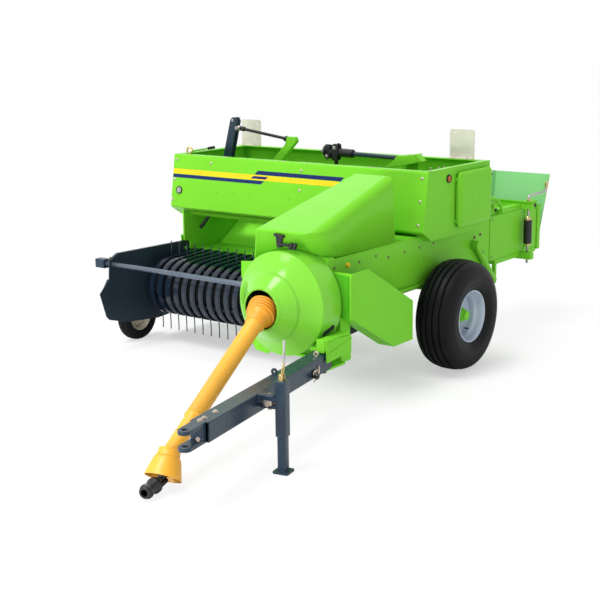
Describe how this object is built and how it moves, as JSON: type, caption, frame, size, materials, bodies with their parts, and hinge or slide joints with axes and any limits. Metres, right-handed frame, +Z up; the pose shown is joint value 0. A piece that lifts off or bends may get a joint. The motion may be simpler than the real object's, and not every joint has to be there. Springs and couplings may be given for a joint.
{
  "type": "hay baler",
  "caption": "Towed small-square hay baler: side pickup with tined reel, feeder box, bale chamber, flywheel guard, drive shaft, swinging drawbar on a jack, and folding chute.",
  "frame": {"origin": "on the ground under the middle of the machine's box", "axes": "+X to the machine's left, +Y to its rear along its length, +Z up"},
  "size_m": [2.5796, 4.4312, 1.525],
  "materials": {
    "lime_paint": "gloss enamel",
    "navy_paint": "satin enamel",
    "black_paint": "satin",
    "grey_blue_paint": "satin",
    "guard_yellow": "moulded",
    "tyre_rubber": "matte",
    "rim_silver": "satin",
    "galvanised": "galvanised",
    "cast_iron": "as cast",
    "bare_steel": "machined"
  },
  "bodies": {
    "chassis": {"chamber_left_wall": "lime_paint", "chamber_right_wall": "lime_paint", "chamber_floor": "lime_paint", "chamber_roof": "lime_paint", "front_frame": "lime_paint", "hood": "lime_paint", "flywheel_guard": "lime_paint", "flywheel_gearbox": "cast_iron", "box_front": "lime_paint", "box_left_side": "lime_paint", "box_right_side": "lime_paint", "box_rear": "lime_paint", "box_floor": "lime_paint", "feeder_floor": "lime_paint", "feeder_end_wall": "lime_paint", "axle": "navy_paint", "feeder_rail": "lime_paint", "packer_fingers": "black_paint", "feeder_post": "black_paint", "feeder_rod": "black_paint", "feeder_lever": "lime_paint", "packer_link": "black_paint", "packer_bracket": "lime_paint", "lamp_plates": "galvanised", "knotter": "lime_paint", "needle_yoke": "lime_paint", "tension_rails": "lime_paint", "tension_screws": "black_paint", "side_guard": "lime_paint"},
    "left_wheel": {"left_tyre": "tyre_rubber", "left_rim": "rim_silver"},
    "right_wheel": {"right_tyre": "tyre_rubber", "right_rim": "rim_silver"},
    "drawbar": {"drawbar": "navy_paint", "clevis": "navy_paint", "jack_tube": "navy_paint"},
    "jack_leg": {"jack_leg": "navy_paint"},
    "shaft_cross": {"shaft_cross": "bare_steel"},
    "drive_shaft": {"shaft_cone": "guard_yellow", "shaft_tube": "guard_yellow", "shaft_front_cone": "guard_yellow", "shaft_yoke": "black_paint"},
    "side_door": {"side_door": "lime_paint"},
    "bale_chute": {"bale_chute": "lime_paint"},
    "pickup": {"pickup_right_plate": "navy_paint", "pickup_left_plate": "navy_paint", "stripper_bands": "navy_paint", "windguard_bar": "grey_blue_paint", "gauge_axle": "navy_paint"},
    "reel": {"reel": "navy_paint"},
    "gauge_wheel": {"gauge_tyre": "tyre_rubber", "gauge_rim": "rim_silver"}
  },
  "joints": [
    {"name": "left_wheel_spin", "type": "hinge", "parent": "chassis", "child": "left_wheel", "pos_m": [1.00419, 0.58549, 0.355], "axis": [1, 0, 0], "continuous": true},
    {"name": "right_wheel_spin", "type": "hinge", "parent": "chassis", "child": "right_wheel", "pos_m": [-0.81581, 0.91549, 0.3], "axis": [1, 0, 0], "continuous": true},
    {"name": "pickup_lift", "type": "hinge", "parent": "chassis", "child": "pickup", "pos_m": [-0.42081, 0.3705, 0.6], "axis": [-1, 0, 0], "range_deg": [0, 12]},
    {"name": "reel_spin", "type": "hinge", "parent": "pickup", "child": "reel", "pos_m": [-0.42081, 0.1055, 0.385], "axis": [1, 0, 0], "continuous": true},
    {"name": "gauge_wheel_spin", "type": "hinge", "parent": "pickup", "child": "gauge_wheel", "pos_m": [-1.22981, -0.0685, 0.165], "axis": [1, 0, 0], "continuous": true},
    {"name": "drawbar_swing", "type": "hinge", "parent": "chassis", "child": "drawbar", "pos_m": [0.90919, -0.7445, 0.35], "axis": [0, 0, 1], "range_deg": [-14, 0]},
    {"name": "jack_slide", "type": "slide", "parent": "drawbar", "child": "jack_leg", "axis": [0, 0, 1], "range_m": [0, 0.12]},
    {"name": "shaft_yaw", "type": "hinge", "parent": "chassis", "child": "shaft_cross", "pos_m": [0.61669, -0.8945, 0.628], "axis": [0, 0, 1], "range_deg": [-14, 0]},
    {"name": "shaft_lift", "type": "hinge", "parent": "shaft_cross", "child": "drive_shaft", "pos_m": [0.61669, -0.8945, 0.628], "axis": [-0.9711, -0.2385, 0], "range_deg": [0, 33]},
    {"name": "side_door_swing", "type": "hinge", "parent": "chassis", "child": "side_door", "pos_m": [0.90769, 0.7255, 1.064], "axis": [0, 0, -1], "range_deg": [0, 110]},
    {"name": "chute_fold", "type": "hinge", "parent": "chassis", "child": "bale_chute", "pos_m": [0.61669, 2.0755, 0.546], "axis": [-1, 0, 0], "range_deg": [0, 76]}
  ],
  "couplings": [
    {"joint": "shaft_yaw", "follows": "drawbar_swing", "ratio": 1}
  ]
}
